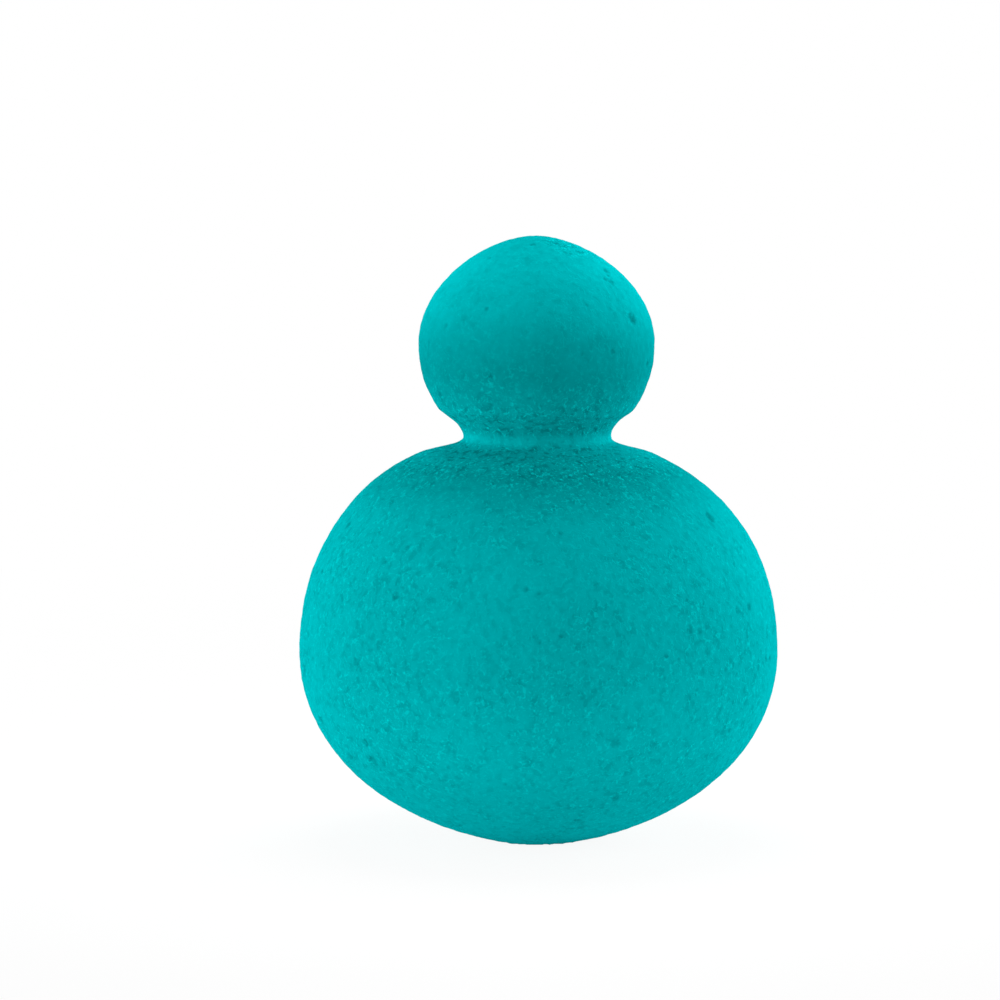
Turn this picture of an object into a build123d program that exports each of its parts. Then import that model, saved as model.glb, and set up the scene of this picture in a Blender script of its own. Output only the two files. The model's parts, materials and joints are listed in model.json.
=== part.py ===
from build123d import *
from math import acos, cos, radians, sin
import os

# A gourd-shaped makeup sponge: a large round bulb, a ground waist and a small round bulb, cut from
# one block of open-cell foam. It is a body of revolution about Z and stands on the flat of its large
# bulb at z = 0. Units are millimetres.
#
# The foam is one piece. It is divided by two flat cuts where it bends, so that the small bulb can
# tilt on the neck: large_bulb below, neck between and small_bulb above.

# ---- driving dimensions ----
FOOT_RADIUS = 4.5  # the flat that the sponge stands on
LARGE_RADIUS = 23.75  # widest radius of the large bulb
SHOULDER_RADIUS = 11.8  # where the large bulb runs into the waist's groove
WAIST_RADIUS = 7.3  # narrowest radius, at the bottom of the groove
RIM_RADIUS = 9.65  # the groove's upper edge, a corner under the small bulb
SMALL_RADIUS = 11.7  # widest radius of the small bulb

LARGE_LOWER_RISE = 18.7  # foot to the large bulb's widest ring
LARGE_UPPER_RISE = 19.5  # widest ring to the shoulder
GROOVE_LOWER_RISE = 1.85  # shoulder to waist
GROOVE_UPPER_RISE = 2.7  # waist to rim
SMALL_LOWER_RISE = 6.65  # rim to the small bulb's widest ring
SMALL_UPPER_RISE = 10.6  # widest ring to the tip

FOOT_SLOPE = 11  # degrees above level at which the wall leaves the foot
SHOULDER_SLOPE = 26  # degrees below level at the shoulder
RIM_GROOVE_SLOPE = 58.5  # degrees from upright of the groove's wall at the rim
RIM_BULB_SLOPE = 31  # degrees from upright of the small bulb's wall at the rim

BEND_RANGE = 30  # degrees that the neck bends each way, sideways and to the front
NECK_ABOVE_WAIST = 4.7  # how much foam over the waist bends with the neck
TILT_CLEARANCE = 0.1  # between the two bulbs' cut faces at the farthest tilt

# How full each span is: a curve's handle as a share of the span's height or width.
FOOT_FULLNESS = 0.463
LARGE_LOWER_FULLNESS = 0.583
LARGE_UPPER_FULLNESS = 0.626
SHOULDER_FULLNESS = 0.46
GROOVE_FULLNESS = 0.45
RIM_FULLNESS = 0.37
SMALL_LOWER_FULLNESS = 0.436
SMALL_UPPER_FULLNESS = 0.53
TIP_FULLNESS = 0.436

# ---- heights that follow from them ----
large_ring_z = LARGE_LOWER_RISE
shoulder_z = large_ring_z + LARGE_UPPER_RISE
waist_z = shoulder_z + GROOVE_LOWER_RISE
rim_z = waist_z + GROOVE_UPPER_RISE
small_ring_z = rim_z + SMALL_LOWER_RISE
tip_z = small_ring_z + SMALL_UPPER_RISE

# Both bends at once tilt the small bulb this far, and its cut face must stay over the large bulb's.
corner_tilt = acos(cos(radians(BEND_RANGE)) ** 2)
tilt_reach = SMALL_RADIUS * sin(corner_tilt) - NECK_ABOVE_WAIST * cos(corner_tilt)
upper_cut_z = waist_z + NECK_ABOVE_WAIST
lower_cut_z = waist_z - tilt_reach - TILT_CLEARANCE


def point(radius, height):
    """A point of the half outline, in the XZ plane."""
    return Vector(radius, 0, height)


def handle(length, degrees_from_upright):
    """A curve handle that leans away from the axis by the given angle."""
    lean = radians(degrees_from_upright)
    return Vector(length * sin(lean), 0, length * cos(lean))


def span(start, start_handle, end_handle, end):
    """A smooth curve between two outline points, shaped by a handle at each."""
    return Bezier(start, start + start_handle, end + end_handle, end)


def half_outline():
    """The closed half section of the whole sponge."""
    foot_centre = point(0, 0)
    foot_edge = point(FOOT_RADIUS, 0)
    large_ring = point(LARGE_RADIUS, large_ring_z)
    shoulder = point(SHOULDER_RADIUS, shoulder_z)
    waist = point(WAIST_RADIUS, waist_z)
    rim = point(RIM_RADIUS, rim_z)
    small_ring = point(SMALL_RADIUS, small_ring_z)
    tip = point(0, tip_z)

    foot_lean = 90 - FOOT_SLOPE
    shoulder_lean = 90 + SHOULDER_SLOPE
    foot_handle = FOOT_FULLNESS * (LARGE_RADIUS - FOOT_RADIUS)
    shoulder_handle = SHOULDER_FULLNESS * (LARGE_RADIUS - SHOULDER_RADIUS)
    groove_handle = GROOVE_FULLNESS * GROOVE_UPPER_RISE
    return [
        Line(foot_centre, foot_edge),
        span(
            foot_edge,
            handle(foot_handle, foot_lean),
            handle(-LARGE_LOWER_FULLNESS * LARGE_LOWER_RISE, 0),
            large_ring,
        ),
        span(
            large_ring,
            handle(LARGE_UPPER_FULLNESS * LARGE_UPPER_RISE, 0),
            handle(shoulder_handle, shoulder_lean),
            shoulder,
        ),
        span(
            shoulder,
            handle(-groove_handle, shoulder_lean),
            handle(-GROOVE_FULLNESS * GROOVE_LOWER_RISE, 0),
            waist,
        ),
        span(
            waist,
            handle(groove_handle, 0),
            handle(-groove_handle, RIM_GROOVE_SLOPE),
            rim,
        ),
        span(
            rim,
            handle(RIM_FULLNESS * SMALL_LOWER_RISE, RIM_BULB_SLOPE),
            handle(-SMALL_LOWER_FULLNESS * SMALL_LOWER_RISE, 0),
            small_ring,
        ),
        span(
            small_ring,
            handle(SMALL_UPPER_FULLNESS * SMALL_UPPER_RISE, 0),
            handle(TIP_FULLNESS * SMALL_RADIUS, 90),
            tip,
        ),
        Line(tip, foot_centre),
    ]


def whole_sponge():
    """The uncut foam, turned about its upright axis."""
    section = make_face(half_outline())
    return revolve(section, Axis.Z)


def slice_between(solid, low_z, high_z):
    """The part of a solid between two level cuts; None leaves that side whole."""
    if low_z is not None:
        solid = split(solid, Plane.XY.offset(low_z), keep=Keep.TOP)
    if high_z is not None:
        solid = split(solid, Plane.XY.offset(high_z), keep=Keep.BOTTOM)
    return solid


def make_nodes():
    """The three stretches of foam, each under its node name."""
    foam = whole_sponge()
    return {
        "large_bulb": slice_between(foam, None, lower_cut_z),
        "neck": slice_between(foam, lower_cut_z, upper_cut_z),
        "small_bulb": slice_between(foam, upper_cut_z, None),
    }


os.makedirs("parts", exist_ok=True)
for name, solid in make_nodes().items():
    export_step(solid, f"parts/{name}.step")
    print(name, round(solid.volume), "mm3")
print("waist at", round(waist_z, 3), "cuts at", round(lower_cut_z, 3), round(upper_cut_z, 3))
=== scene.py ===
# %% [markdown]
# # A gourd-shaped makeup sponge
#
# The object is one piece of soft teal foam: a large round bulb to stand on, a narrow ground waist and a
# small round bulb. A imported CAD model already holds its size, its bodies and the two bends of its neck.
# This lesson builds the looks around that model: the foam's skin with its cells and pores, its colour,
# and a plain studio.

# %% Load the frame
import json
from math import cos, pi, radians, sin

import bpy
import numpy as np
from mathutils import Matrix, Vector


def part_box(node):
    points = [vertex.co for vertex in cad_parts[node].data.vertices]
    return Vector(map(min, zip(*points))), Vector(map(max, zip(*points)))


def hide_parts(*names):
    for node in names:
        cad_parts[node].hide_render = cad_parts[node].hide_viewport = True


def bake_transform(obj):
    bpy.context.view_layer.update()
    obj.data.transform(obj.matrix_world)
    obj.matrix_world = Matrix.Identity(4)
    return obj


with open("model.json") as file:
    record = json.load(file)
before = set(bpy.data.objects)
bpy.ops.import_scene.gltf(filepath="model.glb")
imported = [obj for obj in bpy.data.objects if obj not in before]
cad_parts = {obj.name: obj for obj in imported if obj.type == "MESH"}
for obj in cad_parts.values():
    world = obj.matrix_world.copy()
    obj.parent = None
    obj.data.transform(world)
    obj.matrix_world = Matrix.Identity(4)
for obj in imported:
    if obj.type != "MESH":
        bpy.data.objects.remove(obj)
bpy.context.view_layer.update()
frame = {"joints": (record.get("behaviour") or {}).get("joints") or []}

MM = 0.001

# %% [markdown]
# ## Sizes
#
# The sponge is a body of revolution, so its shape is one line: the half outline, from the middle of the
# foot up to the tip. Its widest radii, its height and its waist are read from the CAD nodes and the
# joint. The other points of the outline are the corners and hollows that a sponge grinder's wheel
# leaves: the shoulder, the groove and the rim under the small bulb. They are named here in millimetres.

# %% Sizes of the outline
large_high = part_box("large_bulb")[1]
small_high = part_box("small_bulb")[1]
neck_joint = frame["joints"][0]

LARGE_RADIUS = large_high.x / MM
SMALL_RADIUS = small_high.x / MM
TIP_Z = small_high.z / MM
WAIST_Z = neck_joint["pos_m"][2] / MM

FOOT_RADIUS = 4.5
WAIST_RADIUS = 7.3
LARGE_RING_Z = 18.7
SHOULDER_RADIUS, SHOULDER_Z = 11.8, WAIST_Z - 1.85
RIM_RADIUS, RIM_Z = 9.65, WAIST_Z + 2.7
SMALL_RING_Z = RIM_Z + 6.65
FOOT_SLOPE, SHOULDER_SLOPE, RIM_GROOVE_SLOPE, RIM_BULB_SLOPE = 11, 26, 58.5, 31
print("waist at", round(WAIST_Z, 2), "mm, radii", round(LARGE_RADIUS, 2), round(SMALL_RADIUS, 2))

# %% [markdown]
# ## Small helpers
#
# Blender's operators act on whatever is selected, so a helper that selects exactly one object comes
# first. The second one applies a modifier at once, as a maker does by hand when a step is finished. The
# last two read and write all the vertices of a mesh in one go.

# %% Helpers for selecting, for modifiers and for vertices


def pick(piece):
    """Selects one object and nothing else."""
    if bpy.context.object and bpy.context.object.mode != "OBJECT":
        bpy.ops.object.mode_set(mode="OBJECT")
    bpy.ops.object.select_all(action="DESELECT")
    piece.select_set(True)
    bpy.context.view_layer.objects.active = piece
    return piece


def finish_with(piece, kind, **settings):
    """Adds a modifier with the given settings and applies it."""
    pick(piece)
    modifier = piece.modifiers.new(kind.title(), kind)
    for name, value in settings.items():
        setattr(modifier, name, value)
    bpy.ops.object.modifier_apply(modifier=modifier.name)
    return piece


def places(piece):
    """Every vertex of a mesh as rows of x, y and z in metres."""
    flat = np.empty(len(piece.data.vertices) * 3)
    piece.data.vertices.foreach_get("co", flat)
    return flat.reshape(-1, 3)


def set_places(piece, rows):
    """Writes the vertices back."""
    piece.data.vertices.foreach_set("co", rows.ravel())
    piece.data.update()


# %% [markdown]
# ## The half outline
#
# A foam grinder turns the block against a shaped wheel, so the real outline is smooth curves that meet
# at a few places. It could be drawn as a long row of points, but a Bezier curve needs only one point
# where the curve changes its mind, with two handles that say how it leaves. At the rim the two handles
# don't line up, which makes the small corner over the groove.

# %% Draw the half outline as a Bezier curve


def handle(length, degrees_from_upright):
    """A handle that leans away from the axis by the given angle, in mm."""
    lean = radians(degrees_from_upright)
    return Vector((length * sin(lean), 0, length * cos(lean)))


def outline_points():
    """Each point of the outline in mm with the handle towards the foot and the one towards the tip."""
    shoulder_lean = 90 + SHOULDER_SLOPE
    return [
        ((FOOT_RADIUS, 0), handle(2, -90), handle(8.91, 90 - FOOT_SLOPE)),
        ((LARGE_RADIUS, LARGE_RING_Z), handle(-10.9, 0), handle(12.2, 0)),
        ((SHOULDER_RADIUS, SHOULDER_Z), handle(5.5, shoulder_lean), handle(-1.22, shoulder_lean)),
        ((WAIST_RADIUS, WAIST_Z), handle(-0.83, 0), handle(1.22, 0)),
        ((RIM_RADIUS, RIM_Z), handle(-1.22, RIM_GROOVE_SLOPE), handle(2.46, RIM_BULB_SLOPE)),
        ((SMALL_RADIUS, SMALL_RING_Z), handle(-2.9, 0), handle(5.62, 0)),
        ((0, TIP_Z), handle(5.1, 90), handle(-2, 90)),
    ]


def draw_outline(name, steps_per_span):
    """The outline as a line of mesh edges in the XZ plane, closed to the axis at the foot."""
    bpy.ops.object.select_all(action="DESELECT")
    bpy.ops.curve.primitive_bezier_curve_add(location=(0, 0, 0))
    line = bpy.context.object
    line.name = name
    line.data.resolution_u = steps_per_span
    points = outline_points()
    spline = line.data.splines[0]
    spline.bezier_points.add(len(points) - len(spline.bezier_points))
    for knot, ((radius, height), back, ahead) in zip(spline.bezier_points, points):
        place = Vector((radius, 0, height))
        knot.handle_left_type = knot.handle_right_type = "FREE"
        knot.co = place * MM
        knot.handle_left = (place + back) * MM
        knot.handle_right = (place + ahead) * MM
    bpy.ops.object.convert(target="MESH")
    return bpy.context.object


outline = draw_outline("outline", steps_per_span=24)
print("the outline has", len(outline.data.vertices), "points")

# %% [markdown]
# ## Turn the outline into a body
#
# Spin works like a lathe: the line goes round the Z axis and leaves a skin behind it. The first and the
# last line lie on each other, and so do all the copies of the tip, so doubles are merged. The foot is a
# ring at first, and one face across it closes the flat that the sponge stands on. A spun mesh can come
# out inside out, so its normals are recalculated once it is closed.

# %% Spin the outline round the axis
SPIN_STEPS = 240
WELD_REACH = 0.001  # points nearer than this are one point, in mm


def spin_body(line):
    """Spins the outline into a closed body and joins what lies on each other."""
    pick(line)
    bpy.ops.object.mode_set(mode="EDIT")
    bpy.ops.mesh.select_all(action="SELECT")
    bpy.ops.mesh.spin(steps=SPIN_STEPS, angle=2 * pi, center=(0, 0, 0), axis=(0, 0, 1))
    bpy.ops.mesh.select_all(action="SELECT")
    bpy.ops.mesh.remove_doubles(threshold=WELD_REACH * MM)
    bpy.ops.mesh.select_all(action="DESELECT")
    bpy.ops.mesh.select_non_manifold()
    bpy.ops.mesh.edge_face_add()
    bpy.ops.mesh.select_all(action="SELECT")
    bpy.ops.mesh.normals_make_consistent(inside=False)
    bpy.ops.object.mode_set(mode="OBJECT")
    return line


lathe = spin_body(outline)
lathe.name = "turned_form"
print("turned form:", len(lathe.data.polygons), "faces")

# %% [markdown]
# ## An even skin
#
# The spun mesh has long faces at the equator and slivers at the tip, and pores need room everywhere. A
# voxel remesh covers the form with small even squares. It also steps and rounds a little, so a
# shrinkwrap puts each new vertex back on the turned form.

# %% Remesh to even squares and wrap them back on the form
SKIN_STEP = 0.25  # side of a square, in mm


def even_skin(form, step):
    """A new object with even faces that lie on the form."""
    pick(form)
    bpy.ops.object.duplicate()
    skin = bpy.context.object
    skin.name = "foam_whole"
    finish_with(skin, "REMESH", mode="VOXEL", voxel_size=step * MM, adaptivity=0)
    finish_with(skin, "SHRINKWRAP", target=form, wrap_method="NEAREST_SURFACEPOINT")
    return skin


foam = even_skin(lathe, SKIN_STEP)
print("even skin:", len(foam.data.polygons), "faces")

# %% [markdown]
# ## A soft rim and an uneven neck
#
# Foam can't hold a knife edge, so the rim under the small bulb is rounded: its vertices are selected and
# smoothed a few times. The wheel also cut the small bulb a little off the middle and left one side of
# the shoulder fuller. A maker could move the bulb and repair the neck by hand, but proportional editing
# moves a place and lets the foam round it follow softly in one step.

# %% Round the rim, shift the small bulb and fill the shoulder
RIM_SOFT = 0.9  # how far round its corner the rim is smoothed, in mm
RIM_PASSES = 12
LEAN_SIDE = -0.2
LEAN_REACH = 7.0
FULL_SHOULDER = Vector((-0.10, 0, 0.33))
FULL_SHOULDER_ANGLE, FULL_SHOULDER_Z = -90, 36.5
SHOULDER_REACH = 11.0


def select_where(piece, chosen):
    """Opens the piece in edit mode with only the chosen vertices selected."""
    pick(piece)
    bpy.ops.object.mode_set(mode="EDIT")
    bpy.ops.mesh.select_mode(type="VERT")
    bpy.ops.mesh.select_all(action="DESELECT")
    bpy.ops.object.mode_set(mode="OBJECT")
    piece.data.vertices.foreach_set("select", chosen)
    bpy.ops.object.mode_set(mode="EDIT")


def soften_rim(piece):
    """Rounds the corner over the groove."""
    rows = places(piece) / MM
    radii = np.hypot(rows[:, 0], rows[:, 1])
    near_rim = np.hypot(radii - RIM_RADIUS, rows[:, 2] - RIM_Z) < RIM_SOFT
    select_where(piece, near_rim)
    bpy.ops.mesh.vertices_smooth(factor=0.5, repeat=RIM_PASSES)
    bpy.ops.object.mode_set(mode="OBJECT")
    return int(near_rim.sum())


def pull(piece, chosen, shift_mm, reach_mm):
    """Moves the chosen vertices, and the foam within reach follows softly."""
    select_where(piece, chosen)
    bpy.ops.transform.translate(
        value=tuple(shift_mm * MM),
        use_proportional_edit=True,
        proportional_edit_falloff="SMOOTH",
        proportional_size=reach_mm * MM,
    )
    bpy.ops.object.mode_set(mode="OBJECT")


def skin_point(rows, angle, height):
    """The vertex that faces the given angle at the given height, found along a ray from the axis."""
    aim = np.array([sin(radians(angle)), -cos(radians(angle))])
    ahead = rows[:, :2] @ aim
    aside = rows[:, 0] * aim[1] - rows[:, 1] * aim[0]
    miss = aside**2 + (rows[:, 2] - height * MM) ** 2
    miss[ahead < 0] = 1
    return int(np.argmin(miss))


print("rim vertices softened:", soften_rim(foam))
pull(foam, places(foam)[:, 2] > RIM_Z * MM, Vector((LEAN_SIDE, 0, 0)), LEAN_REACH)
on_shoulder = np.zeros(len(foam.data.vertices), bool)
on_shoulder[skin_point(places(foam), FULL_SHOULDER_ANGLE, FULL_SHOULDER_Z)] = True
pull(foam, on_shoulder, FULL_SHOULDER, SHOULDER_REACH)
tip = places(foam)[np.argmax(places(foam)[:, 2])]
print("middle of the tip in mm:", round(float(tip[0] / MM), 2))

# %% [markdown]
# ## Waves and cut cells in the surface
#
# Foam gives way under the grinding wheel, so the real surface is never a perfect lathe form. Two
# Displace modifiers push the skin in along its normals: a cloud pattern for slow waves, and a Voronoi
# pattern for the open cells that the wheel cut. They move the skin by a few hundredths of a
# millimetre about its true place, so the sponge keeps its size. The foot rests on a table and lies
# flat there, so its vertices are scaled back to the table's level at the end.

# %% Displace the skin and flatten the foot
WAVE_SIZE, WAVE_DEPTH = 9, 0.16
CELL_SIZE, CELL_DEPTH = 0.8, 0.09
FOOT_SOFT = 0.07  # everything under this height is laid flat


def pattern(name, kind, size_mm, **settings):
    """A texture for a Displace modifier, with its grain size in mm."""
    texture = bpy.data.textures.new(name, kind)
    texture.noise_scale = size_mm * MM
    for key, value in settings.items():
        setattr(texture, key, value)
    return texture


def press_in(piece, texture, depth_mm, level):
    """Pushes the skin in where the texture is darker than the level, and out a little where it isn't."""
    finish_with(
        piece,
        "DISPLACE",
        texture=texture,
        texture_coords="LOCAL",
        strength=depth_mm * MM,
        mid_level=level,
    )


press_in(foam, pattern("slow_waves", "CLOUDS", WAVE_SIZE, noise_depth=1), WAVE_DEPTH, level=0.5)
press_in(foam, pattern("cut_cells", "VORONOI", CELL_SIZE), CELL_DEPTH, level=0.6)
select_where(foam, places(foam)[:, 2] < FOOT_SOFT * MM)
bpy.ops.transform.resize(value=(1, 1, 0), center_override=(0, 0, 0))
bpy.ops.object.mode_set(mode="OBJECT")
print("lowest point in mm:", round(float(places(foam)[:, 2].min() / MM), 3))

# %% [markdown]
# ## Open pores
#
# Here and there a gas bubble was cut open and left a shallow, ragged pore, 0.4 to 1.3 mm wide. The
# clearest ones are placed one by one, by their angle round the axis, their height and their width.
# Smaller ones are scattered by a seeded draw. The skin is divided finer round each pore before it is
# pressed in, and a little chance in the distance makes each mouth uneven.

# %% Press the pores into the skin
PLACED_PORES = [
    # angle from the front in degrees, height in mm, width in mm
    (56, 52, 1.3),
    (60, 56.6, 0.9),
    (54, 55.6, 0.9),
    (32, 59.4, 0.8),
    (42, 59.1, 0.9),
    (52, 58.5, 0.8),
    (-8, 59.3, 0.7),
    (62, 33, 1.2),
    (-37, 26.3, 0.9),
    (-47, 19.6, 1.0),
    (-50, 9.6, 1.3),
    (-49, 11.6, 0.9),
    (-62, 9.5, 1.0),
    (-77, 17.6, 1.3),
    (-71, 12.8, 1.0),
    (38, 23.2, 0.9),
    (41, 23.0, 0.7),
    (14, 28, 0.6),
    (56, 24.4, 0.7),
    (62, 24.4, 0.8),
    (19, 12.6, 1.0),
    (24, 6.6, 0.9),
    (14, 4, 0.8),
    (-19, 17, 0.7),
]
SCATTERED_PORES = 120
SCATTERED_WIDTHS = (0.35, 0.7)
PORE_DEPTH = 0.20  # of its width
PORE_RAGGED = 0.22  # how far chance moves the mouth, in half widths
PORE_MOUTH = 1.25  # where the dip begins, in half widths
PORE_ROOM = 0.85  # how far round a pore the skin is divided, in widths
SCATTER_SEED, MOUTH_SEED = 5, 6


def scatter_pores(count, seed):
    """Pore places spread over the whole surface, in the same form as the placed ones."""
    draw = np.random.default_rng(seed)
    angles = draw.uniform(0, 360, count)
    on_large = count * 3 // 4
    low = draw.uniform(1, WAIST_Z - 3, on_large)
    high = draw.uniform(RIM_Z, TIP_Z, count - on_large)
    widths = draw.uniform(*SCATTERED_WIDTHS, count)
    return list(zip(angles, np.concatenate([low, high]), widths))


def press_pores(piece, pores, seed):
    """Divides the skin near each pore and presses the pore in along the surface normal."""
    rows = places(piece)
    centres = [skin_point(rows, angle, height) for angle, height, _ in pores]
    middles = rows[centres]
    near = np.zeros(len(rows), bool)
    for middle, (_, _, width) in zip(middles, pores):
        near |= np.sum((rows - middle) ** 2, axis=1) < (PORE_ROOM * width * MM) ** 2
    select_where(piece, near)
    bpy.ops.mesh.subdivide(number_cuts=1, smoothness=0)
    bpy.ops.object.mode_set(mode="OBJECT")
    inward = -np.array([piece.data.vertices[i].normal for i in centres])
    rows = places(piece)
    chance = np.random.default_rng(seed).uniform(-PORE_RAGGED, PORE_RAGGED, len(rows))
    hollow = np.zeros(len(rows))
    for middle, into, (_, _, width) in zip(middles, inward, pores):
        reach = np.sqrt(np.sum((rows - middle) ** 2, axis=1)) / (0.5 * width * MM) + chance
        dip = np.clip(PORE_MOUTH - reach, 0, 1)
        dip = dip * dip * (3 - 2 * dip)
        rows += dip[:, None] * into * (PORE_DEPTH * width * MM)
        hollow = np.maximum(hollow, dip)
    set_places(piece, rows)
    return hollow


all_pores = PLACED_PORES + scatter_pores(SCATTERED_PORES, SCATTER_SEED)
foam_hollow = press_pores(foam, all_pores, MOUTH_SEED)
print("pores:", len(all_pores), "faces now:", len(foam.data.polygons))

# %% [markdown]
# ## Keep the pattern on the foam
#
# The neck will bend, and a pattern that reads plain object coordinates would then slide over the foam.
# So each vertex keeps its place at rest in an attribute, and the material reads that. A second one
# says how deep the vertex lies in a pore, and the material paints shade into the pores with it.

# %% Store the rest place and the pore depth


def keep_on_points(piece, name, kind, field, values):
    """Stores one value for each vertex under a name that the material can read."""
    attribute = piece.data.attributes.new(name, kind, "POINT")
    attribute.data.foreach_set(field, np.asarray(values, np.float32).ravel())


keep_on_points(foam, "rest_place", "FLOAT_VECTOR", "vector", places(foam) / MM)
keep_on_points(foam, "pore_hollow", "FLOAT", "value", foam_hollow)
pick(foam)
bpy.ops.object.shade_smooth()

# %% [markdown]
# ## Two skins that meet in the groove
#
# The neck bends about two crossed joints, one for sideways and one for to and fro, and a skin can only
# follow one joint at a time. So the foam is cut in the groove, just over the waist, into a lower and an
# upper skin. Bisect cuts each copy on the same plane and closes it. The edge of each closing face is
# marked sharp, and the normals along the cut are copied from the uncut foam, so no line shows.

# %% Cut the foam in the groove
SKIN_CUT_Z = WAIST_Z + 0.8
CUT_EXACT = 0.001  # how near the plane a vertex counts as on the cut, in mm


def half_of(whole, name, keep_upper):
    """One closed half of the foam, cut in the groove."""
    pick(whole)
    bpy.ops.object.duplicate()
    half = bpy.context.object
    half.name = name
    bpy.ops.object.mode_set(mode="EDIT")
    bpy.ops.mesh.select_all(action="SELECT")
    bpy.ops.mesh.bisect(
        plane_co=(0, 0, SKIN_CUT_Z * MM),
        plane_no=(0, 0, 1),
        use_fill=True,
        clear_inner=keep_upper,
        clear_outer=not keep_upper,
        threshold=CUT_EXACT * MM,
    )
    bpy.ops.mesh.mark_sharp()
    bpy.ops.object.mode_set(mode="OBJECT")
    return half


def match_normals(half, whole):
    """Copies the uncut foam's normals to the vertices along the cut."""
    rows = places(half)
    ring = np.flatnonzero(np.abs(rows[:, 2] - SKIN_CUT_Z * MM) < CUT_EXACT * MM)
    group = half.vertex_groups.new(name="cut_edge")
    group.add([int(i) for i in ring], 1.0, "REPLACE")
    finish_with(
        half,
        "DATA_TRANSFER",
        object=whole,
        use_loop_data=True,
        data_types_loops={"CUSTOM_NORMAL"},
        loop_mapping="POLYINTERP_NEAREST",
        vertex_group=group.name,
    )
    return len(ring)


lower_skin = half_of(foam, "foam_large_bulb", keep_upper=False)
upper_skin = half_of(foam, "foam_small_bulb", keep_upper=True)
for half in (lower_skin, upper_skin):
    print(half.name, "cut edge vertices:", match_normals(half, foam), "faces:", len(half.data.polygons))

# %% [markdown]
# ## Foam colour and cells
#
# Open-cell foam has no gloss: light enters the cut cells and comes back as plain colour, so the finish
# is purely diffuse. What makes it foam is the grain: tiny dark cells, where shade in the pits is painted
# into the colour, torn cell walls that stand up as curled threads with painted highlights, and slow
# patches where the dye or the cut differ. Each effect is a node group that takes the rest place in
# millimetres. The first one makes the cells from a Voronoi pattern.

# %% A node group for the open cells
WARP_SIZE = 0.5  # grain of the noise that bends the cells' rows, in mm
WARP_MM = 0.35  # how far it bends them
PIT_EDGE, PIT_MIDDLE = 0.42, 0.08  # distance from a cell's middle, in cell sizes


def new_group(name, inputs, outputs):
    """An empty shader node group with named sockets, and its input and output nodes."""
    group = bpy.data.node_groups.new(name, "ShaderNodeTree")
    for label, kind, value in inputs:
        socket = group.interface.new_socket(name=label, in_out="INPUT", socket_type=kind)
        if value is not None:
            socket.default_value = value
    for label, kind in outputs:
        group.interface.new_socket(name=label, in_out="OUTPUT", socket_type=kind)
    start = group.nodes.new("NodeGroupInput")
    end = group.nodes.new("NodeGroupOutput")
    return group, start, end


def math_node(tree, operation, first, second=None, third=None, clamp=False):
    """A Math node; each input is a socket or a number."""
    node = tree.nodes.new("ShaderNodeMath")
    node.operation = operation
    node.use_clamp = clamp
    for socket, value in zip(node.inputs, (first, second, third)):
        connect(tree, value, socket)
    return node.outputs[0]


def connect(tree, value, socket):
    """Links a socket, or sets a number or colour."""
    if value is None:
        return
    if isinstance(value, bpy.types.NodeSocket):
        tree.links.new(value, socket)
    else:
        socket.default_value = value


def ramp(tree, value, low, high, to_low=0.0, to_high=1.0):
    """A smooth step from low to high."""
    node = tree.nodes.new("ShaderNodeMapRange")
    node.interpolation_type = "SMOOTHSTEP"
    labels = ("Value", "From Min", "From Max", "To Min", "To Max")
    for label, number in zip(labels, (value, low, high, to_low, to_high)):
        connect(tree, number, node.inputs[label])
    return node.outputs["Result"]


def noise(tree, vector, size, detail=2.0, rough=0.5):
    """Noise from about 0 to 1, with its grain size in the vector's own unit."""
    node = tree.nodes.new("ShaderNodeTexNoise")
    node.inputs["Scale"].default_value = 1.0 / size
    node.inputs["Detail"].default_value = detail
    node.inputs["Roughness"].default_value = rough
    connect(tree, vector, node.inputs["Vector"])
    return node


def cells_group():
    """Cut cells: Pit is high in the middle of each cell, where the material paints shade."""
    group, start, end = new_group(
        "open_cells",
        [("Place", "NodeSocketVector", None), ("Cell mm", "NodeSocketFloat", 0.4)],
        [("Pit", "NodeSocketFloat")],
    )
    warp = noise(group, start.outputs["Place"], WARP_SIZE, detail=1.0)
    push = group.nodes.new("ShaderNodeVectorMath")
    push.operation = "MULTIPLY_ADD"
    connect(group, warp.outputs["Color"], push.inputs[0])
    push.inputs[1].default_value = (WARP_MM, WARP_MM, WARP_MM)
    connect(group, start.outputs["Place"], push.inputs[2])
    voronoi = group.nodes.new("ShaderNodeTexVoronoi")
    connect(group, push.outputs[0], voronoi.inputs["Vector"])
    connect(group, math_node(group, "DIVIDE", 1.0, start.outputs["Cell mm"]), voronoi.inputs["Scale"])
    connect(group, ramp(group, voronoi.outputs["Distance"], PIT_EDGE, PIT_MIDDLE), end.inputs["Pit"])
    return group


open_cells = cells_group()
print("node group:", open_cells.name)

# %% [markdown]
# The second group makes painted highlights and painted shade on the torn walls. A line where a noise
# passes its middle value is thin and curls about, and a second noise breaks it into short threads, which
# are painted lighter. Still finer noise gives painted glints, the specks where the tip of a wall catches
# the light, and broad low spots give blots of painted shade where the cells are deeper.

# %% A node group for torn walls
# grain sizes in mm, then the noise levels between which each effect comes up
CURL_SIZE, THREAD_WIDTH = 0.64, 0.074
BREAK_SIZE, BREAK_LEVELS = 0.46, (0.46, 0.6)
TIP_SIZE, TIP_LEVELS = 0.2, (0.6, 0.75)
BLOT_SIZE, BLOT_LEVELS = 0.76, (0.5, 0.34)
WIDE_PATCH, SMALL_PATCH = 11.0, 2.2


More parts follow.
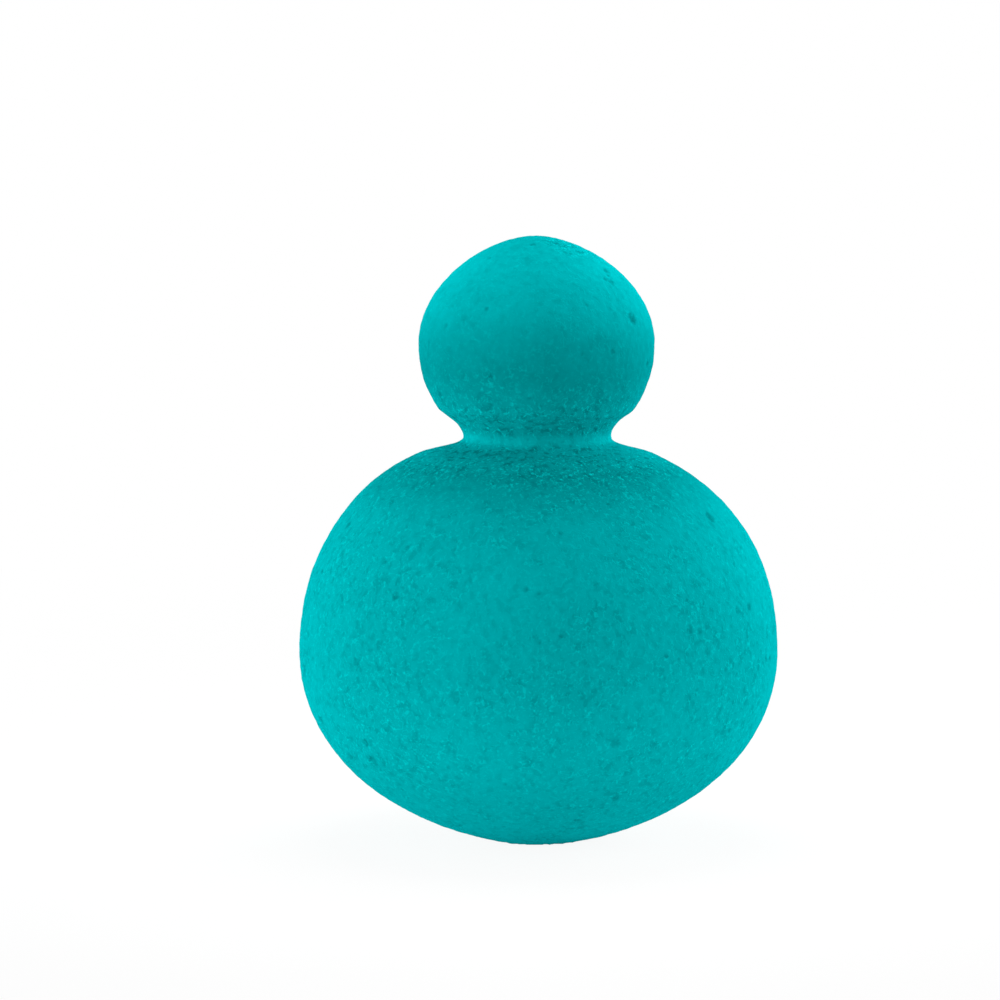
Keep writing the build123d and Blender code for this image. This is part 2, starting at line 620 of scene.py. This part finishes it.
def torn_walls_group():
    """Thread and Speck are painted highlights on the cell walls; Blot is painted shade where the cells
    are deeper.
    """
    group, start, end = new_group(
        "torn_walls",
        [("Place", "NodeSocketVector", None)],
        [("Thread", "NodeSocketFloat"), ("Speck", "NodeSocketFloat"), ("Blot", "NodeSocketFloat")],
    )
    place = start.outputs["Place"]
    curl = noise(group, place, CURL_SIZE, detail=1.0).outputs[0]
    off_middle = math_node(group, "ABSOLUTE", math_node(group, "SUBTRACT", curl, 0.5))
    line = ramp(group, off_middle, THREAD_WIDTH, 0.0)
    breaks = ramp(group, noise(group, place, BREAK_SIZE, detail=0.0).outputs[0], *BREAK_LEVELS)
    connect(group, math_node(group, "MULTIPLY", line, breaks), end.inputs["Thread"])
    tips = noise(group, place, TIP_SIZE, detail=0.0).outputs[0]
    connect(group, ramp(group, tips, *TIP_LEVELS), end.inputs["Speck"])
    deep = noise(group, place, BLOT_SIZE, detail=1.5).outputs[0]
    connect(group, ramp(group, deep, *BLOT_LEVELS), end.inputs["Blot"])
    return group


def patches_group():
    """Slow patches from 0 to 1, wide and middling together."""
    group, start, end = new_group(
        "slow_patches",
        [("Place", "NodeSocketVector", None)],
        [("Patch", "NodeSocketFloat")],
    )
    wide = noise(group, start.outputs["Place"], WIDE_PATCH, detail=1.0)
    middling = noise(group, start.outputs["Place"], SMALL_PATCH, detail=2.0)
    both = math_node(group, "ADD", wide.outputs[0], middling.outputs[0])
    connect(group, math_node(group, "MULTIPLY", both, 0.5), end.inputs["Patch"])
    return group


torn_walls = torn_walls_group()
slow_patches = patches_group()
print("node groups:", torn_walls.name, slow_patches.name)

# %% [markdown]
# ## The foam material
# The grain isn't equally strong everywhere. The wheel tears the cells open on the flanks of the groove
# and on the shoulder, rubs the bottom of the groove smooth, and leaves the round bulbs in between. So
# the strength of the grain depends on the height of the rest place, with slow patches mixed in. A short
# row of tones by height paints shade and light into the colour: darker under the small bulb and on the
# shoulder below the neck, lighter at the bottom of the groove. Torn
# foam also looks deeper in tone and rubbed foam paler, which a short row of tones by height gives.

# %% Build the foam material
FOAM_TEAL = (0.0, 0.50, 0.53, 1.0)
# the deeper dye of the slow patches, and also the painted shade in cell pits, blots and pores
DEEP_TEAL_DYE_AND_SHADE = (0.0, 0.15, 0.165, 1.0)
# painted highlight colour for the threads and specks of cell wall
HIGHLIGHT_TEAL = (0.0, 0.72, 0.73, 1.0)
# painted shade and painted light by height: darker under the small bulb and on the shoulder
PAINTED_SHADE_BY_HEIGHT = [
    # height in mm, share of the foam's full colour that the painted shade leaves
    (0, 1.00),
    (6, 0.81),
    (20, 0.82),
    (28, 0.88),
    (33, 0.80),
    (35.5, 0.68),
    (37.2, 0.60),
    (38, 0.74),
    (38.8, 0.96),
    (39.6, 1.00),
    (40.4, 1.00),
    (40.9, 0.80),
    (42.2, 0.91),
    (43.6, 0.70),
    (46.5, 0.58),
    (49.5, 0.67),
    (53, 0.89),
    (57, 0.93),
    (60, 0.82),
]
TORN_SPOT, TORN_SPOT_RADIUS = (2.8, -1.8, 58.6), 3.6
TORN_UNDER_SHOULDER = 2.2  # how far the torn cells reach, in mm
TORN_OVER_RIM = 2.4
SPOT_GRAIN = 1.5
WAIST_GRAIN = 0.4
BASE_GRAIN = (0.26, 0.54)
SLOW_TONE = 0.14
CELL_MM = 0.38
# painted shade: how much the pits, the blots and the pores are darkened
PIT_SHADE, BLOT_SHADE, PORE_SHADE = 0.24, 0.56, 0.24
# painted highlights: how much the specks and the threads are lightened
SPECK_LIGHT, WALL_LIGHT = 0.6, 0.75
BUMP_STRENGTH, BUMP_DEPTH = 0.6, 0.12


def use_group(tree, group, **values):
    """Places a node group; underscores in a keyword stand for spaces in the socket's name."""
    node = tree.nodes.new("ShaderNodeGroup")
    node.node_tree = group
    for label, value in values.items():
        connect(tree, value, node.inputs[label.replace("_", " ")])
    return node


def mix_colour(tree, amount, first, second, blend="MIX"):
    """A colour between two, by a 0 to 1 amount."""
    node = tree.nodes.new("ShaderNodeMix")
    node.data_type = "RGBA"
    node.blend_type = blend
    connect(tree, amount, node.inputs["Factor"])
    connect(tree, first, node.inputs[6])
    connect(tree, second, node.inputs[7])
    return node.outputs[2]


def painted_shade_by_height(tree, height):
    """Painted shade and light as grey tones from foot to tip, out of the short row above."""
    node = tree.nodes.new("ShaderNodeValToRGB")
    stops = node.color_ramp.elements
    while len(stops) < len(PAINTED_SHADE_BY_HEIGHT):
        stops.new(1.0)
    for stop, (at, share) in zip(stops, PAINTED_SHADE_BY_HEIGHT):
        stop.position = at / TIP_Z
        stop.color = (share, share, share, 1.0)
    connect(tree, math_node(tree, "DIVIDE", height, TIP_Z), node.inputs[0])
    return node.outputs["Color"]


def grain_strength(tree, place, height, patch):
    """How open the cells are, which scales the painted pit shade and highlights: strong on both groove
    flanks and in one torn spot by the tip.
    """
    below = ramp(tree, height, SHOULDER_Z - TORN_UNDER_SHOULDER, SHOULDER_Z)
    above = ramp(tree, height, RIM_Z + TORN_OVER_RIM, RIM_Z - 0.6)
    flanks = math_node(tree, "MULTIPLY", below, above)
    away = tree.nodes.new("ShaderNodeVectorMath")
    away.operation = "DISTANCE"
    connect(tree, place, away.inputs[0])
    away.inputs[1].default_value = TORN_SPOT
    spot = ramp(tree, away.outputs["Value"], TORN_SPOT_RADIUS, TORN_SPOT_RADIUS / 2, 0.0, SPOT_GRAIN)
    torn = math_node(tree, "MAXIMUM", flanks, spot)
    off_waist = math_node(tree, "ABSOLUTE", math_node(tree, "SUBTRACT", height, WAIST_Z + 0.2))
    rubbed = ramp(tree, off_waist, 0.3, 0.7, WAIST_GRAIN, 1.0)
    base = ramp(tree, patch, 0.40, 0.60, *BASE_GRAIN)
    calm = ramp(tree, height, RIM_Z + 1.0, RIM_Z + 5.5, 1.0, 0.5)
    strong = math_node(tree, "MULTIPLY_ADD", torn, 0.5, math_node(tree, "MULTIPLY", base, calm))
    return math_node(tree, "MULTIPLY", strong, rubbed)


def foam_material():
    """Teal open-cell foam."""
    material = bpy.data.materials.new("teal_foam")
    material.use_nodes = True
    tree = material.node_tree
    shader = tree.nodes["Principled BSDF"]
    place = tree.nodes.new("ShaderNodeAttribute")
    place.attribute_name = "rest_place"
    hollow = tree.nodes.new("ShaderNodeAttribute")
    hollow.attribute_name = "pore_hollow"
    split = tree.nodes.new("ShaderNodeSeparateXYZ")
    connect(tree, place.outputs["Vector"], split.inputs[0])

    patch = use_group(tree, slow_patches, Place=place.outputs["Vector"]).outputs["Patch"]
    strength = grain_strength(tree, place.outputs["Vector"], split.outputs["Z"], patch)
    cells = use_group(tree, open_cells, Place=place.outputs["Vector"], Cell_mm=CELL_MM)
    torn = use_group(tree, torn_walls, Place=place.outputs["Vector"])

    # painted shade in the cell pits, the deeper blots and the pores
    deep = math_node(tree, "MULTIPLY", cells.outputs["Pit"], PIT_SHADE)
    deep = math_node(tree, "MULTIPLY_ADD", torn.outputs["Blot"], BLOT_SHADE, deep)
    deep = math_node(tree, "MULTIPLY", deep, strength)
    dark = math_node(tree, "MULTIPLY_ADD", hollow.outputs["Fac"], PORE_SHADE, deep, clamp=True)
    # painted highlights on the threads and specks of cell wall
    bright = math_node(tree, "MULTIPLY_ADD", torn.outputs["Speck"], SPECK_LIGHT, torn.outputs["Thread"])
    light = math_node(tree, "MULTIPLY", strength, WALL_LIGHT)
    bright = math_node(tree, "MULTIPLY", bright, light, clamp=True)

    slow = mix_colour(tree, ramp(tree, patch, 0.3, 0.7, 0.0, SLOW_TONE), FOAM_TEAL, DEEP_TEAL_DYE_AND_SHADE)
    # the tone by height is painted shade and painted light, laid over the dye's own slow patches
    shade_painted_by_height = mix_colour(tree, 1.0, slow, painted_shade_by_height(tree, split.outputs["Z"]), blend="MULTIPLY")
    pitted = mix_colour(tree, dark, shade_painted_by_height, DEEP_TEAL_DYE_AND_SHADE)
    connect(tree, mix_colour(tree, bright, pitted, HIGHLIGHT_TEAL), shader.inputs["Base Color"])
    connect(tree, ramp(tree, dark, 0.0, 1.0, 0.88, 1.0), shader.inputs["Roughness"])
    shader.inputs["Specular IOR Level"].default_value = 0.0

    relief = math_node(tree, "SUBTRACT", bright, dark)
    bump = tree.nodes.new("ShaderNodeBump")
    bump.inputs["Strength"].default_value = BUMP_STRENGTH
    bump.inputs["Distance"].default_value = BUMP_DEPTH * MM
    connect(tree, relief, bump.inputs["Height"])
    connect(tree, bump.outputs["Normal"], shader.inputs["Normal"])
    return material


teal_foam = foam_material()
for half in (lower_skin, upper_skin):
    half.data.materials.clear()
    half.data.materials.append(teal_foam)
print("material:", teal_foam.name, "with", len(teal_foam.node_tree.nodes), "nodes")

# %% [markdown]
# ## Clear away the tools
#
# The whole foam and the turned form were only tools, so they are removed. The CAD bodies are hidden,
# and each skin's placement is applied to its mesh.


for tool in (foam, lathe):
    bpy.data.objects.remove(tool, do_unlink=True)
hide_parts("large_bulb", "neck")
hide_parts("small_bulb")
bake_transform(lower_skin)
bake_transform(upper_skin)

# %% [markdown]
# ## Floor
#
# A small soft object is usually shown on a light table: white acrylic with a lamp under it, which lifts
# the underside of what stands on it and keeps shadows faint. The floor is one large plane. It glows a
# little near the sponge, and to the camera it fades into the white backdrop with distance.

# %% Lay the light table
FLOOR_SIDE = 12.0
TABLE_GLOW = 0.21
GLOW_NEAR, GLOW_FAR = 0.042, 0.098
FADE_NEAR, FADE_FAR = 0.06, 0.25
TABLE_GRAIN = 0.004
TABLE_TONES = (0.91, 0.91, 0.91, 1), (0.93, 0.93, 0.93, 1)
WHITE = (1, 1, 1, 1)


def light_table():
    """White acrylic that glows near the middle and reads as plain white further away."""
    material = bpy.data.materials.new("light_table")
    material.use_nodes = True
    tree = material.node_tree
    shader = tree.nodes["Principled BSDF"]
    place = tree.nodes.new("ShaderNodeTexCoord")
    away = tree.nodes.new("ShaderNodeVectorMath")
    away.operation = "LENGTH"
    connect(tree, place.outputs["Object"], away.inputs[0])
    distance = away.outputs["Value"]
    grain = noise(tree, place.outputs["Object"], TABLE_GRAIN, detail=3.0)
    tone = mix_colour(tree, grain.outputs[0], *TABLE_TONES)
    connect(tree, tone, shader.inputs["Base Color"])
    shader.inputs["Roughness"].default_value = 0.9
    shader.inputs["Specular IOR Level"].default_value = 0.0
    shader.inputs["Emission Color"].default_value = WHITE
    glow = ramp(tree, distance, GLOW_FAR, GLOW_NEAR, 0.0, TABLE_GLOW)
    connect(tree, glow, shader.inputs["Emission Strength"])

    plain = tree.nodes.new("ShaderNodeEmission")
    plain.inputs["Color"].default_value = WHITE
    seen = tree.nodes.new("ShaderNodeLightPath")
    fade = ramp(tree, distance, FADE_NEAR, FADE_FAR, 0.9, 1.0)
    veil = math_node(tree, "MULTIPLY", fade, seen.outputs["Is Camera Ray"])
    both = tree.nodes.new("ShaderNodeMixShader")
    connect(tree, veil, both.inputs[0])
    connect(tree, shader.outputs[0], both.inputs[1])
    connect(tree, plain.outputs[0], both.inputs[2])
    connect(tree, both.outputs[0], tree.nodes["Material Output"].inputs["Surface"])
    return material


bpy.ops.object.select_all(action="DESELECT")
bpy.ops.mesh.primitive_plane_add(size=FLOOR_SIDE, location=(0, 0, 0))
floor = bpy.context.object
floor.name = "floor"
floor.data.materials.append(light_table())
print("floor:", FLOOR_SIDE, "m square")

# %% [markdown]
# ## Studio light
#
# The room gives a faint even light and a stronger one from the front, where a white card stands round
# the lens. Two softboxes behind the sponge and one on its right light the flanks, so both sides are
# brighter than the middle, and a small low one fills in on the left. One close above lifts the top of
# the small bulb, and leaves the foam under it and on the shoulder in soft shade.

# %% The soft room
ROOM_LIGHT = 0.25
FRONT_LIGHT = 0.91


def soft_room():
    """A world with soft light all round, more in front, and a plain white backdrop."""
    world = bpy.data.worlds.new("soft_room")
    bpy.context.scene.world = world
    world.use_nodes = True
    tree = world.node_tree
    tree.nodes.clear()
    out = tree.nodes.new("ShaderNodeOutputWorld")
    direction = tree.nodes.new("ShaderNodeTexCoord")
    split = tree.nodes.new("ShaderNodeSeparateXYZ")
    connect(tree, direction.outputs["Generated"], split.inputs[0])
    glow = ramp(tree, split.outputs["Y"], -0.25, -0.9, ROOM_LIGHT, FRONT_LIGHT)
    lighting = tree.nodes.new("ShaderNodeBackground")
    connect(tree, glow, lighting.inputs["Strength"])
    backdrop = tree.nodes.new("ShaderNodeBackground")
    backdrop.inputs["Strength"].default_value = 1.0
    for shade in (lighting, backdrop):
        shade.inputs["Color"].default_value = WHITE
    seen = tree.nodes.new("ShaderNodeLightPath")
    choose = tree.nodes.new("ShaderNodeMixShader")
    connect(tree, seen.outputs["Is Camera Ray"], choose.inputs[0])
    connect(tree, lighting.outputs[0], choose.inputs[1])
    connect(tree, backdrop.outputs[0], choose.inputs[2])
    connect(tree, choose.outputs[0], out.inputs["Surface"])
    return world


soft_room()

# %% [markdown]
# Each softbox is a square area lamp that is turned towards the middle of the sponge. Adding them one by
# one by hand gives the same lamps, but one short table shows how their sides and powers compare.

# %% Softboxes
AIM = Vector((0, 0, TIP_Z / 2 * MM))
SOFTBOXES = [
    # name, place in m, side in m, watts
    ("softbox_left_behind", (-0.22, 0.22, 0.05), 0.20, 0.54),
    ("softbox_right_behind", (0.22, 0.22, 0.07), 0.20, 0.67),
    ("softbox_right", (0.28, 0.02, 0.10), 0.25, 0.36),
    ("softbox_left_low", (-0.25, -0.05, 0.03), 0.06, 0.25),
    ("softbox_above", (0.004, 0.03, 0.18), 0.12, 0.163),
]


def softbox(name, place, side, watts):
    """A square soft light that points at the sponge."""
    bpy.ops.object.light_add(type="AREA", location=place)
    lamp = bpy.context.object
    lamp.name = name
    lamp.data.size = side
    lamp.data.energy = watts
    lamp.rotation_euler = (AIM - Vector(place)).to_track_quat("-Z", "Y").to_euler()
    return lamp


for box_row in SOFTBOXES:
    softbox(*box_row)
print("softboxes:", len(SOFTBOXES))

# %% [markdown]
# ## Camera
#
# A long lens from a little above the sponge's middle: the foot shows no flat, the neck's band bows
# slightly downwards, and the two bulbs keep their true proportions. A small shift of the lens puts the
# sponge right of and below the middle of the frame without turning the view.

# %% Place the camera
CAMERA_DISTANCE = 0.45
CAMERA_ELEVATION = radians(6)
VIEW_HEIGHT = 0.0993  # how much of the scene the frame covers at the sponge, in m
SENSOR = 36.0
SHIFT_X, SHIFT_Y = -0.0385, 0.038

towards_camera = Vector((0, -cos(CAMERA_ELEVATION), sin(CAMERA_ELEVATION)))
bpy.ops.object.camera_add(location=AIM + CAMERA_DISTANCE * towards_camera)
camera = bpy.context.object
camera.name = "camera"
camera.rotation_euler = (pi / 2 - CAMERA_ELEVATION, 0, 0)
camera.data.sensor_width = SENSOR
camera.data.lens = SENSOR * CAMERA_DISTANCE / VIEW_HEIGHT
camera.data.shift_x = SHIFT_X
camera.data.shift_y = SHIFT_Y
bpy.context.scene.camera = camera
bpy.context.scene.view_settings.view_transform = "Standard"
print("lens:", round(camera.data.lens, 1), "mm")
